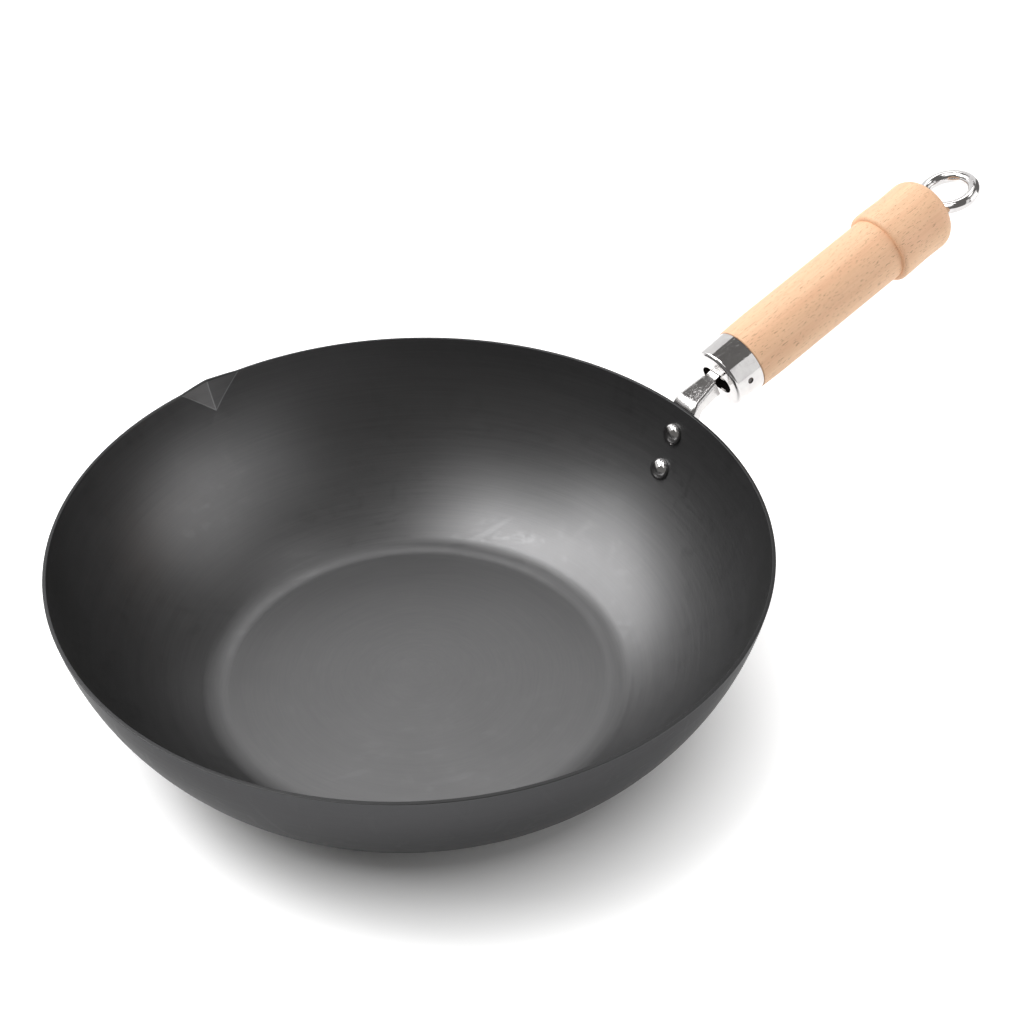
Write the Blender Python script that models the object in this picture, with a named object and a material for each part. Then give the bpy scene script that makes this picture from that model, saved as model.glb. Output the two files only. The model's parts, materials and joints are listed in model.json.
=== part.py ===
"""Deep iron frying pan with a riveted steel bracket, a wooden grip and a hanging eye.

Metres, +Z up. The origin is the centre of the flat base, on the surface that the pan
stands on. The handle points along +X and the pouring spout is on the +Y side.
"""
import math

import bmesh
import bpy
from mathutils import Matrix, Vector

# Clearance between two pieces that touch on the real pan
SEAT_GAP = 0.0003

# Pan body, one sheet pressed into a bowl with a curved wall
RIM_RADIUS = 0.150
PAN_HEIGHT = 0.0816
BASE_RADIUS = 0.0886
PAN_SHEET = 0.0016
WALL_START_SLOPE = math.radians(24.9)
BASE_BLEND_RADIUS = 0.026
PAN_STEPS = 96
WALL_STEPS = 11
BLEND_STEPS = 4

# Pouring spout, a V pinched out of the rim
SPOUT_AZIMUTH = math.radians(94.0)
SPOUT_WIDTH = 0.031
SPOUT_DEPTH = 0.014
SPOUT_REACH = 0.0022
SPOUT_CREASE_MARGIN = 0.008

# Axis of the rod, grip and eye: its height over the rim plane at the rim, and its rise
AXIS_OVER_RIM = -0.0008
HANDLE_TILT = math.radians(18.3)

# Bracket, a strip that lies on the wall, bends over the rim and folds into a channel
BRACKET_SHEET = 0.0016
STRIP_HALF_WIDTH = 0.0115
STRIP_EDGE_LAND = 0.0007
STRIP_FOOT_START = math.radians(18)
FOLD_INNER_RADIUS = 0.0004
FOLD_SPREAD = math.radians(7.5)
BEND_RADIUS = 0.0077
BEND_BELOW_RIM = 0.0022
CHANNEL_END = 0.0177
TANG_BEND_BEHIND_FERRULE_FRONT = 0.0025
TANG_END = 0.050

# Rivets, measured down from the rim to their middles
RIVET_DROPS = {"rivet_upper": 0.0138, "rivet_lower": 0.0310}
RIVET_SHANK_RADIUS = 0.0024
RIVET_HEAD_RADIUS = 0.0050
RIVET_HEAD_HEIGHT = 0.0028
RIVET_EDGE_HEIGHT = 0.0004
RIVET_TAIL_RADIUS = 0.0042
RIVET_TAIL_HEIGHT = 0.0019
RIVET_STEPS = 24

# Rod through the grip, with a thread at its far end
ROD_RADIUS = 0.0030
ROD_TIP_CHAMFER = 0.0006
ROD_STEPS = 24

# Ferrule, a drawn cup over the front of the grip, placed along the axis from the rim
FERRULE_FRONT = 0.0218
FERRULE_LENGTH = 0.0151
FERRULE_FRONT_RADIUS = 0.0148
FERRULE_BACK_RADIUS = 0.0152
FERRULE_SHEET = 0.0008
FERRULE_CORNER_RADIUS = 0.0016
SLOT_HALF_WIDTH = 0.0089
SLOT_HALF_HEIGHT = 0.0051

# Brad that holds the ferrule, on the side of the grip
BRAD_BEHIND_FERRULE_FRONT = 0.0080
BRAD_ANGLE = math.radians(171.0)
BRAD_RADIUS = 0.0008
BRAD_HEAD_RADIUS = 0.0012
BRAD_HEAD_THICKNESS = 0.0005
BRAD_LENGTH = 0.0050
BRAD_STEPS = 16

# Grip, turned from one piece of wood
GRIP_FRONT_RADIUS = 0.0155
GRIP_RADIUS = 0.0159
GRIP_SWELL_LENGTH = 0.018
COLLAR_START = 0.1270
COLLAR_RADIUS = 0.0184
COLLAR_EDGE_RADIUS = 0.0020
COLLAR_LENGTH = 0.0065
WAIST_RADIUS = 0.0181
POMMEL_RADIUS = 0.0183
POMMEL_ROUNDING = 0.0076
POMMEL_FACE_RADIUS = 0.0108
GRIP_END = 0.1620
MOUTH_RADIUS = 0.0095
MOUTH_DEPTH = 0.0052
RECESS_RADIUS = 0.0085
RECESS_DEPTH = 0.0040
GRIP_STEPS = 40

# Washer and eye nut
WASHER_RADIUS = 0.0075
WASHER_THICKNESS = 0.0012
EYE_CENTRE = 0.1757
EYE_RING_RADIUS = 0.01195
EYE_WIRE_RADIUS = 0.0030
EYE_ROLL = math.radians(-5.0)
EYE_BOSS_RADIUS = 0.0055
EYE_BOSS_CHAMFER = 0.0006
EYE_BOSS_LENGTH = 0.0028
EYE_NECK_RADIUS = 0.0027
EYE_BORE_WALL = 0.0010
EYE_RING_STEPS = 40
EYE_WIRE_STEPS = 12

TURNED_STEPS = 32


def clear_scene():
    for thing in list(bpy.data.objects):
        bpy.data.objects.remove(thing, do_unlink=True)


def material(name, colour, roughness, metallic):
    made = bpy.data.materials.new(name)
    made.use_nodes = True
    shader = made.node_tree.nodes["Principled BSDF"]
    shader.inputs["Base Color"].default_value = (*colour, 1.0)
    shader.inputs["Roughness"].default_value = roughness
    shader.inputs["Metallic"].default_value = metallic
    return made


def add_object(name, mesh, look=None, parent=None):
    thing = bpy.data.objects.new(name, mesh)
    bpy.context.collection.objects.link(thing)
    thing.parent = parent
    if look:
        mesh.materials.append(look)
        mesh.shade_smooth()
        mesh.set_sharp_from_angle(angle=math.radians(35))
    return thing


def add_empty(name, location, tilt):
    """An empty whose +X rises by the tilt from world +X."""
    guide = bpy.data.objects.new(name, None)
    bpy.context.collection.objects.link(guide)
    guide.location = location
    guide.rotation_euler = (0.0, -tilt, 0.0)
    return guide


def finished_mesh(name, bm):
    bmesh.ops.remove_doubles(bm, verts=bm.verts, dist=1e-6)
    bmesh.ops.dissolve_degenerate(bm, edges=bm.edges, dist=1e-6)
    bmesh.ops.recalc_face_normals(bm, faces=bm.faces)
    mesh = bpy.data.meshes.new(name)
    bm.to_mesh(mesh)
    bm.free()
    return mesh


def spin_profile(points, axis, steps, closed=False):
    """Turn points of (along, radius) about the X axis, or of (radius, height) about Z."""
    bm = bmesh.new()
    if axis == "X":
        verts = [bm.verts.new((along, 0.0, radius)) for along, radius in points]
        direction = Vector((1.0, 0.0, 0.0))
    else:
        verts = [bm.verts.new((radius, 0.0, height)) for radius, height in points]
        direction = Vector((0.0, 0.0, 1.0))
    edges = [bm.edges.new(pair) for pair in zip(verts, verts[1:])]
    if closed:
        edges.append(bm.edges.new((verts[-1], verts[0])))
    bmesh.ops.spin(bm, geom=verts + edges, cent=(0, 0, 0), axis=direction,
                   angle=2 * math.pi, steps=steps, use_merge=True)
    return bm


def turned(name, points, steps, look, parent, closed=False):
    bm = spin_profile(points, "X", steps, closed)
    return add_object(name, finished_mesh(name, bm), look, parent)


def spread(start, end, count):
    """Evenly spaced values from start to end, both included."""
    return [start + (end - start) * i / count for i in range(count + 1)]


def arc(centre, radius, start, end, count):
    """Points on an arc in a profile plane, by angle from the first coordinate's axis."""
    return [(centre[0] + radius * math.cos(a), centre[1] + radius * math.sin(a))
            for a in spread(start, end, count)]


def cut(target, cutter):
    """Take the cutter out of the target, and keep it as a guide."""
    cutter.hide_render = True
    cutter.display_type = "WIRE"
    step = target.modifiers.new("cut_" + cutter.name, "BOOLEAN")
    step.operation = "DIFFERENCE"
    step.solver = "EXACT"
    step.object = cutter


def round_cutter(name, radius, start, end, parent, steps=24):
    """A cylinder along its parent's X axis."""
    return turned(name, [(start, 0), (start, radius), (end, radius), (end, 0)],
                  steps, None, parent)


# The wall's curve, shared by the pan, the bracket and the rivets

def wall_arc():
    """Centre x and z, radius and rim slope of the arc of the wall's outer face."""
    run = RIM_RADIUS - BASE_RADIUS
    rim_slope = 2 * math.atan2(PAN_HEIGHT, run) - WALL_START_SLOPE
    half_turn = (rim_slope - WALL_START_SLOPE) / 2
    radius = math.hypot(run, PAN_HEIGHT) / (2 * math.sin(half_turn))
    centre_x = BASE_RADIUS - radius * math.sin(WALL_START_SLOPE)
    centre_z = radius * math.cos(WALL_START_SLOPE)
    return centre_x, centre_z, radius, rim_slope


def wall_point(slope, outwards=0.0):
    """Point in the XZ plane where the wall has this slope, off its outer face."""
    centre_x, centre_z, radius, _ = wall_arc()
    reach = radius + outwards
    return centre_x + reach * math.sin(slope), centre_z - reach * math.cos(slope)


def wall_slope_at(height, outwards=0.0):
    _, centre_z, radius, _ = wall_arc()
    return math.acos((centre_z - height) / (radius + outwards))


# Pan body

def bowl_side(inside):
    """Profile of one face of the sheet, from the axis to the rim."""
    centre_x, centre_z, radius, _ = wall_arc()
    blend_reach = radius - BASE_BLEND_RADIUS
    blend_x = centre_x + math.sqrt(blend_reach ** 2 - (centre_z - BASE_BLEND_RADIUS) ** 2)
    blend_slope = math.atan2(blend_x - centre_x, centre_z - BASE_BLEND_RADIUS)
    small = BASE_BLEND_RADIUS - inside
    points = [(0.0, inside)]
    for slope in spread(0.0, blend_slope, BLEND_STEPS):
        points.append((blend_x + small * math.sin(slope),
                       BASE_BLEND_RADIUS - small * math.cos(slope)))
    end_slope = wall_slope_at(PAN_HEIGHT, -inside)
    for slope in spread(blend_slope, end_slope, WALL_STEPS)[1:]:
        points.append(wall_point(slope, -inside))
    return points


def spout_direction(azimuth=SPOUT_AZIMUTH):
    return Vector((math.cos(azimuth), math.sin(azimuth), 0.0))


def score_spout(bm):
    """Cut the three crease lines of the V into the wall."""
    half_angle = SPOUT_WIDTH / 2 / RIM_RADIUS
    tip = spout_direction() * RIM_RADIUS + Vector((0, 0, PAN_HEIGHT - SPOUT_DEPTH))
    creases = [(tip, spout_direction(SPOUT_AZIMUTH + math.pi / 2))]
    for side in (-1, 1):
        corner = spout_direction(SPOUT_AZIMUTH + side * half_angle) * RIM_RADIUS
        corner.z = PAN_HEIGHT
        normal = (corner - tip).cross(spout_direction())
        creases.append((tip, normal.normalized()))
    for point, normal in creases:
        near = [f for f in bm.faces if is_near_spout(f.calc_center_median())]
        geometry = set(near)
        for face in near:
            geometry.update(face.edges)
            geometry.update(face.verts)
        bmesh.ops.bisect_plane(bm, geom=list(geometry), plane_co=point,
                               plane_no=normal, dist=1e-6)


def spout_offset(point):
    """Angle from the spout's middle, and height over its tip as a share of its depth."""
    angle = math.atan2(point.y, point.x) - SPOUT_AZIMUTH
    share = (point.z - PAN_HEIGHT + SPOUT_DEPTH) / SPOUT_DEPTH
    return angle, share


def is_near_spout(point):
    angle, _ = spout_offset(point)
    lowest = PAN_HEIGHT - SPOUT_DEPTH - SPOUT_CREASE_MARGIN
    widest = SPOUT_WIDTH / 2 + SPOUT_CREASE_MARGIN
    return abs(angle) * RIM_RADIUS < widest and point.z > lowest


def pinch_spout(bm):
    """Pull the scored V outwards, most at the rim in its middle."""
    half_angle = SPOUT_WIDTH / 2 / RIM_RADIUS
    for vert in bm.verts:
        angle, share = spout_offset(vert.co)
        pull = max(0.0, share - abs(angle) / half_angle)
        if math.hypot(vert.co.x, vert.co.y) > BASE_RADIUS:
            vert.co += spout_direction() * (SPOUT_REACH * pull)


def make_pan_body(rivet_frames):
    outer = bowl_side(0.0)
    inner = bowl_side(PAN_SHEET)
    bm = spin_profile(outer + inner[::-1], "Z", PAN_STEPS)
    bmesh.ops.remove_doubles(bm, verts=bm.verts, dist=1e-6)
    score_spout(bm)
    pinch_spout(bm)
    look = material("nitrided_iron", (0.085, 0.085, 0.087), 0.38, 0.85)
    pan = add_object("pan_body", finished_mesh("pan_body", bm), look)
    for name, frame in rivet_frames.items():
        cut(pan, rivet_hole(name + "_hole_in_pan", frame))
    return pan


# Rivets, each in a frame whose +X points straight out of the wall

def rivet_frames():
    frames = {}
    for name, drop in RIVET_DROPS.items():
        slope = wall_slope_at(PAN_HEIGHT - drop)
        x, z = wall_point(slope)
        frames[name] = add_empty(name + "_axis", (x, 0.0, z), slope - math.pi / 2)
    return frames


def rivet_hole(name, frame):
    past = 4 * (PAN_SHEET + BRACKET_SHEET)
    return round_cutter(name, RIVET_SHANK_RADIUS + SEAT_GAP, -past, past, frame)


def dome(base, height, radius, count):
    """Quarter-ellipse profile from the edge of a head to the middle of its top."""
    return [(base + height * math.sin(a), radius * math.cos(a))
            for a in spread(0.0, math.pi / 2, count)]


def make_rivet(name, frame, look):
    wall_hollow = RIVET_HEAD_RADIUS ** 2 / (2 * wall_arc()[2])
    head_seat = -PAN_SHEET - SEAT_GAP - wall_hollow
    tail_seat = BRACKET_SHEET + 2 * SEAT_GAP
    edge = RIVET_EDGE_HEIGHT
    head = dome(head_seat - edge, edge - RIVET_HEAD_HEIGHT, RIVET_HEAD_RADIUS, 5)
    tail = dome(tail_seat + edge, RIVET_TAIL_HEIGHT - edge, RIVET_TAIL_RADIUS, 4)
    points = head[::-1]
    points += [(head_seat, RIVET_HEAD_RADIUS), (head_seat, RIVET_SHANK_RADIUS)]
    points += [(tail_seat, RIVET_SHANK_RADIUS), (tail_seat, RIVET_TAIL_RADIUS)]
    points += tail
    return turned(name, points, RIVET_STEPS, look, frame)


# Bracket

def neck_half_width():
    """Outer half width of the channel where it ends, just wider than the rod."""
    return ROD_RADIUS + SEAT_GAP + BRACKET_SHEET


def fold_radius():
    return FOLD_INNER_RADIUS + BRACKET_SHEET


def tang_top():
    """Height of the tang's upper face over the handle's axis."""
    return ROD_RADIUS + SEAT_GAP + BRACKET_SHEET


def on_axis(along, above=0.0):
    """World x and z of a place along the handle's axis and above it."""
    x = RIM_RADIUS + along * math.cos(HANDLE_TILT) - above * math.sin(HANDLE_TILT)
    z = PAN_HEIGHT + AXIS_OVER_RIM + along * math.sin(HANDLE_TILT)
    return x, z + above * math.cos(HANDLE_TILT)


def tang_bend():
    return FERRULE_FRONT + TANG_BEND_BEHIND_FERRULE_FRONT


def neck_line():
    """Bend centre, bend start slope, neck slope and the neck's two ends."""
    start_slope = wall_slope_at(PAN_HEIGHT - BEND_BELOW_RIM, SEAT_GAP)
    centre = wall_point(start_slope, SEAT_GAP + BEND_RADIUS)
    goal = on_axis(tang_bend(), tang_top())
    dx, dz = goal[0] - centre[0], goal[1] - centre[1]
    leave = math.atan2(dz, dx) + math.acos(BEND_RADIUS / math.hypot(dx, dz))
    start = (centre[0] + BEND_RADIUS * math.cos(leave),
             centre[1] + BEND_RADIUS * math.sin(leave))
    return centre, start_slope, leave - math.pi / 2, start, goal


def strip_stations():
    """Stations from the strip's rounded foot to the tang's end.

    Each is (x, z, slope, half width of the flat strip, curve across it), on the face
    that lies against the wall and later looks up.
    """
    centre, bend_slope, neck_slope, neck_start, neck_goal = neck_line()
    reach = wall_arc()[2] + SEAT_GAP
    foot_slope = wall_slope_at(PAN_HEIGHT - RIVET_DROPS["rivet_lower"], SEAT_GAP)
    across = 1 / RIM_RADIUS
    stations = []
    for turn in spread(STRIP_FOOT_START, math.pi / 2, 4):
        slope = foot_slope - STRIP_HALF_WIDTH * math.cos(turn) / reach
        stations.append((*wall_point(slope, SEAT_GAP), slope,
                         STRIP_HALF_WIDTH * math.sin(turn), across))
    for slope in spread(foot_slope, bend_slope, 6)[1:]:
        stations.append((*wall_point(slope, SEAT_GAP), slope, STRIP_HALF_WIDTH, across))
    bend_steps = 7
    for i, slope in enumerate(spread(bend_slope, neck_slope, bend_steps)[1:]):
        angle = slope + math.pi / 2
        stations.append((centre[0] + BEND_RADIUS * math.cos(angle),
                         centre[1] + BEND_RADIUS * math.sin(angle),
                         slope, STRIP_HALF_WIDTH, across * (1 - (i + 1) / bend_steps)))
    channel_share = channel_end_share(neck_start, neck_goal)
    for share in spread(0.0, channel_share, 3)[1:]:
        stations.append((*mix(neck_start, neck_goal, share), neck_slope,
                         STRIP_HALF_WIDTH, 0.0))
    channel_count = len(stations)
    middle_slope = (neck_slope + HANDLE_TILT) / 2
    stations.append((*neck_goal, middle_slope, STRIP_HALF_WIDTH, 0.0))
    stations.append((*on_axis(TANG_END, tang_top()), HANDLE_TILT, STRIP_HALF_WIDTH, 0.0))
    return stations, channel_count


def mix(a, b, share):
    return a[0] + (b[0] - a[0]) * share, a[1] + (b[1] - a[1]) * share


def channel_end_share(start, goal):
    """How far along the neck the folded sides stop."""
    start_along = ((start[0] - RIM_RADIUS) * math.cos(HANDLE_TILT)
                   + (start[1] - PAN_HEIGHT - AXIS_OVER_RIM) * math.sin(HANDLE_TILT))
    return (CHANNEL_END - start_along) / (tang_bend() - start_along)


def folded_section(flat_half, strip_half):
    """Half section (sideways, downwards) of a strip folded beyond its flat middle."""
    radius = fold_radius()
    loose = max(0.0, strip_half - flat_half)
    turn = min(math.pi / 2, loose / radius)
    straight = loose - radius * turn
    points = [(0.0, 0.0), (flat_half / 2, 0.0), (flat_half, 0.0)]
    for angle in spread(0.0, turn, 3)[1:]:
        points.append((flat_half + radius * math.sin(angle),
                       radius * (1 - math.cos(angle))))
    points.append((points[-1][0] + straight * math.cos(turn),
                   points[-1][1] + straight * math.sin(turn)))
    return points


def bracket_rows(stations, channel_count):
    """World positions of each station's section, from -Y over the middle to +Y."""
    lengths = [0.0]
    for a, b in zip(stations, stations[1:]):
        lengths.append(lengths[-1] + math.hypot(b[0] - a[0], b[1] - a[1]))
    channel_length = lengths[channel_count - 1]
    rows = []
    for length, (x, z, slope, strip_half, across) in zip(lengths, stations):
        back = max(0.0, channel_length - length)
        flat_half = neck_half_width() - fold_radius() + back * math.tan(FOLD_SPREAD)
        flat_half = min(flat_half, STRIP_HALF_WIDTH - STRIP_EDGE_LAND)
        width_share = strip_half / STRIP_HALF_WIDTH
        half = [(y * width_share, down * width_share)
                for y, down in folded_section(flat_half, STRIP_HALF_WIDTH)]
        section = [(-y, down) for y, down in half[:0:-1]] + half
        row = []
        for y, down in section:
            depth = down - across * y * y / 2
            row.append((x + depth * math.sin(slope), y, z - depth * math.cos(slope)))
        rows.append(row)
    return rows


def make_bracket(frames, look):
    stations, channel_count = strip_stations()
    rows = bracket_rows(stations, channel_count)
    bm = bmesh.new()
    grid = [[bm.verts.new(place) for place in row] for row in rows]
    middle = len(rows[0]) // 2
    for i, (low, high) in enumerate(zip(grid, grid[1:])):
        reach = middle if i + 1 < channel_count else 2
        for j in range(middle - reach, middle + reach):
            bm.faces.new((low[j], low[j + 1], high[j + 1], high[j]))
    loose = [v for v in bm.verts if not v.link_faces]
    bmesh.ops.delete(bm, geom=loose, context="VERTS")
    mesh = bpy.data.meshes.new("handle_bracket")
    bm.to_mesh(mesh)
    bm.free()
    bracket = add_object("handle_bracket", mesh, look)
    sheet = bracket.modifiers.new("sheet", "SOLIDIFY")
    sheet.thickness = BRACKET_SHEET
    sheet.offset = 1.0
    sheet.use_even_offset = True
    for name, frame in frames.items():
        cut(bracket, rivet_hole(name + "_hole_in_bracket", frame))
    return bracket


# Pieces on the handle's axis, in a frame whose +X runs along it

def recess_floor():
    return GRIP_END - RECESS_DEPTH


def washer_start():
    return recess_floor() + SEAT_GAP


def nut_start():
    return washer_start() + WASHER_THICKNESS + SEAT_GAP


def bore_end():
    """Bottom of the eye nut's blind bore, a wall short of the eye's hole."""
    return EYE_CENTRE - EYE_RING_RADIUS + EYE_WIRE_RADIUS - EYE_BORE_WALL


def make_rod(axis, look):
    start = tang_bend() + SEAT_GAP
    end = bore_end() - SEAT_GAP
    radius = ROD_RADIUS
    points = [(start, 0), (start, radius), (end - ROD_TIP_CHAMFER, radius)]
    points += [(end, radius - ROD_TIP_CHAMFER), (end, 0)]
    return turned("core_rod", points, ROD_STEPS, look, axis)


def ferrule_back():
    return FERRULE_FRONT + FERRULE_LENGTH


def ferrule_side_radius(along):
    share = (along - FERRULE_FRONT) / FERRULE_LENGTH
    return FERRULE_FRONT_RADIUS + (FERRULE_BACK_RADIUS - FERRULE_FRONT_RADIUS) * share


def make_ferrule(axis, look):
    corner = FERRULE_CORNER_RADIUS
    centre = (FERRULE_FRONT + corner, FERRULE_FRONT_RADIUS - corner)
    small = corner - FERRULE_SHEET
    outside = [(FERRULE_FRONT, 0.0)] + arc(centre, corner, math.pi, math.pi / 2, 5)
    outside.append((ferrule_back(), FERRULE_BACK_RADIUS))
    inside = arc(centre, small, math.pi, math.pi / 2, 3)
    inside.append((ferrule_back(), FERRULE_BACK_RADIUS - FERRULE_SHEET))
    inside.insert(0, (FERRULE_FRONT + FERRULE_SHEET, 0.0))
    ferrule = turned("ferrule", outside + inside[::-1], GRIP_STEPS, look, axis)
    cut(ferrule, slot_cutter(axis))
    cut(ferrule, brad_cutter("brad_hole_in_ferrule", BRAD_HEAD_RADIUS + SEAT_GAP, axis))
    return ferrule


def slot_cutter(axis):
    """Round-ended slot across the ferrule's front wall."""
    radius = SLOT_HALF_HEIGHT
    shift = SLOT_HALF_WIDTH - radius
    outline = arc((shift, 0), radius, -math.pi / 2, math.pi / 2, 8)
    outline += arc((-shift, 0), radius, math.pi / 2, 1.5 * math.pi, 8)
    bm = bmesh.new()
    start = FERRULE_FRONT - FERRULE_SHEET
    face = bm.faces.new([bm.verts.new((start, y, z)) for y, z in outline])
    grown = bmesh.ops.extrude_face_region(bm, geom=[face])
    moved = [v for v in grown["geom"] if isinstance(v, bmesh.types.BMVert)]
    bmesh.ops.translate(bm, verts=moved, vec=(3 * FERRULE_SHEET, 0, 0))
    return add_object("slot_in_ferrule", finished_mesh("slot_in_ferrule", bm), None, axis)


def brad_place():
    return FERRULE_FRONT + BRAD_BEHIND_FERRULE_FRONT


def brad_turn():
    """Turn an X-axis piece so that its +X points from the axis out along the brad."""
    out = Vector((0.0, math.cos(BRAD_ANGLE), math.sin(BRAD_ANGLE)))
    return Vector((1, 0, 0)).rotation_difference(out).to_matrix().to_4x4()


def stand_brad(thing):
    thing.matrix_basis = Matrix.Translation((brad_place(), 0, 0)) @ brad_turn()


def brad_head_top():
    return ferrule_side_radius(brad_place()) - SEAT_GAP


def brad_cutter(name, radius, axis):
    low = brad_head_top() - BRAD_LENGTH - SEAT_GAP
    cutter = round_cutter(name, radius, low, 2 * FERRULE_BACK_RADIUS, axis)
    stand_brad(cutter)
    return cutter


def make_brad(axis, look):
    top = brad_head_top()
    neck = top - BRAD_HEAD_THICKNESS
    tip = top - BRAD_LENGTH
    points = [(tip, 0), (tip + BRAD_RADIUS, BRAD_RADIUS), (neck, BRAD_RADIUS)]
    points += [(neck, BRAD_HEAD_RADIUS), (top, BRAD_HEAD_RADIUS), (top, 0)]
    brad = turned("ferrule_brad", points, BRAD_STEPS, look, axis)
    stand_brad(brad)
    return brad


def spigot_radius():
    return FERRULE_FRONT_RADIUS - FERRULE_SHEET - SEAT_GAP


def grip_outside():
    """Outline of the turned grip, from its front spigot to its rounded end."""
    front = FERRULE_FRONT + FERRULE_SHEET + SEAT_GAP
    shoulder = ferrule_back() + SEAT_GAP
    spigot_edge = FERRULE_CORNER_RADIUS - FERRULE_SHEET
    points = [(front, spigot_radius() - spigot_edge), (front + spigot_edge, spigot_radius())]
    points.append((shoulder, spigot_radius()))
    for share in spread(0.0, 1.0, 4):
        rise = math.sin(share * math.pi / 2)
        points.append((shoulder + GRIP_SWELL_LENGTH * share,
                       GRIP_FRONT_RADIUS + (GRIP_RADIUS - GRIP_FRONT_RADIUS) * rise))
    points.append((COLLAR_START, GRIP_RADIUS))
    edge = (COLLAR_START + COLLAR_EDGE_RADIUS, COLLAR_RADIUS - COLLAR_EDGE_RADIUS)
    points += arc(edge, COLLAR_EDGE_RADIUS, math.pi, math.pi / 2, 5)
    collar_end = COLLAR_START + COLLAR_LENGTH
    points.append((collar_end, COLLAR_RADIUS))
    rounding_start = GRIP_END - POMMEL_ROUNDING
    for share in spread(0.0, 1.0, 6)[1:]:
        level = COLLAR_RADIUS + (POMMEL_RADIUS - COLLAR_RADIUS) * share
        dip = (level - WAIST_RADIUS) * math.sin(share * math.pi)
        points.append((collar_end + (rounding_start - collar_end) * share, level - dip))
    for turn in spread(0.0, math.pi / 2, 6)[1:]:
        drop = (POMMEL_RADIUS - POMMEL_FACE_RADIUS) * (1 - math.cos(turn))
        points.append((rounding_start + POMMEL_ROUNDING * math.sin(turn),
                       POMMEL_RADIUS - drop))
    return points


def grip_inside():
    """Outline of the bored grip: washer recess, rod bore, tang pocket and mouth."""
    rod_bore = ROD_RADIUS + SEAT_GAP
    tang_half = neck_half_width() - fold_radius()
    pocket = math.hypot(tang_top(), tang_half) + 2 * SEAT_GAP
    pocket_end = TANG_END + SEAT_GAP
    front = FERRULE_FRONT + FERRULE_SHEET + SEAT_GAP
    points = [(GRIP_END, RECESS_RADIUS), (recess_floor(), RECESS_RADIUS)]
    points += [(recess_floor(), rod_bore), (pocket_end, rod_bore), (pocket_end, pocket)]
    points += [(front + MOUTH_DEPTH, pocket), (front + MOUTH_DEPTH, MOUTH_RADIUS)]
    points.append((front, MOUTH_RADIUS))
    return points


def make_grip(axis):
    look = material("beech", (0.66, 0.42, 0.25), 0.55, 0.0)
    grip = turned("grip", grip_outside() + grip_inside(), GRIP_STEPS, look, axis, True)
    cut(grip, brad_cutter("brad_hole_in_grip", BRAD_RADIUS + SEAT_GAP, axis))
    return grip


def make_washer(axis, look):
    bore = ROD_RADIUS + SEAT_GAP
    start, end = washer_start(), washer_start() + WASHER_THICKNESS
    points = [(start, bore), (start, WASHER_RADIUS), (end, WASHER_RADIUS), (end, bore)]
    return turned("washer", points, TURNED_STEPS, look, axis, True)


def make_eye_nut(axis, look):
    """Ring in the plane of the axis, grown together with a boss that holds the thread."""
    bm = bmesh.new()
    ring = [bm.verts.new((EYE_RING_RADIUS + EYE_WIRE_RADIUS * math.cos(a), 0,
                          EYE_WIRE_RADIUS * math.sin(a)))
            for a in spread(0.0, 2 * math.pi, EYE_WIRE_STEPS)[:-1]]
    edges = [bm.edges.new(pair) for pair in zip(ring, ring[1:] + ring[:1])]
    bmesh.ops.spin(bm, geom=ring + edges, cent=(0, 0, 0), axis=(0, 0, 1),
                   angle=2 * math.pi, steps=EYE_RING_STEPS, use_merge=True)
    bmesh.ops.rotate(bm, verts=bm.verts, matrix=Matrix.Rotation(EYE_ROLL, 3, "X"))
    bmesh.ops.translate(bm, verts=bm.verts, vec=(EYE_CENTRE, 0, 0))
    nut = add_object("eye_nut", finished_mesh("eye_nut", bm), look, axis)
    boss = make_boss(axis)
    boss.hide_render = True
    boss.display_type = "WIRE"
    join = nut.modifiers.new("boss", "BOOLEAN")
    join.operation = "UNION"
    join.solver = "EXACT"
    join.object = boss
    bore = ROD_RADIUS + SEAT_GAP
    cut(nut, round_cutter("bore_in_eye_nut", bore, recess_floor(), bore_end(), axis))
    return nut


def make_boss(axis):
    """Boss at the foot of the ring, necked down to the wire."""
    start = nut_start()
    shoulder = start + EYE_BOSS_LENGTH
    end = EYE_CENTRE - EYE_RING_RADIUS + EYE_NECK_RADIUS / 2
    edge = EYE_BOSS_CHAMFER
    points = [(start, 0), (start, EYE_BOSS_RADIUS - edge), (start + edge, EYE_BOSS_RADIUS)]
    for share in spread(0.0, 1.0, 5):
        fall = math.sin(share * math.pi / 2) ** 2
        points.append((shoulder + (end - shoulder) * share,
                       EYE_BOSS_RADIUS + (EYE_NECK_RADIUS - EYE_BOSS_RADIUS) * fall))
    points.append((end, 0))
    return turned("boss_of_eye_nut", points, TURNED_STEPS, None, axis)


def build():
    clear_scene()
    plated = material("plated_steel", (0.62, 0.61, 0.60), 0.16, 1.0)
    frames = rivet_frames()
    make_pan_body(frames)
    make_bracket(frames, plated)
    for name, frame in frames.items():
        make_rivet(name, frame, plated)
    x, z = on_axis(0.0)
    axis = add_empty("handle_axis", (x, 0.0, z), HANDLE_TILT)
    make_rod(axis, material("rod_steel", (0.45, 0.44, 0.43), 0.35, 1.0))
    make_ferrule(axis, plated)
    make_brad(axis, material("dark_steel", (0.12, 0.11, 0.11), 0.40, 1.0))
    make_grip(axis)
    make_washer(axis, plated)
    make_eye_nut(axis, plated)
    bpy.context.view_layer.update()


build()
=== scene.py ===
import json
import math

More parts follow.
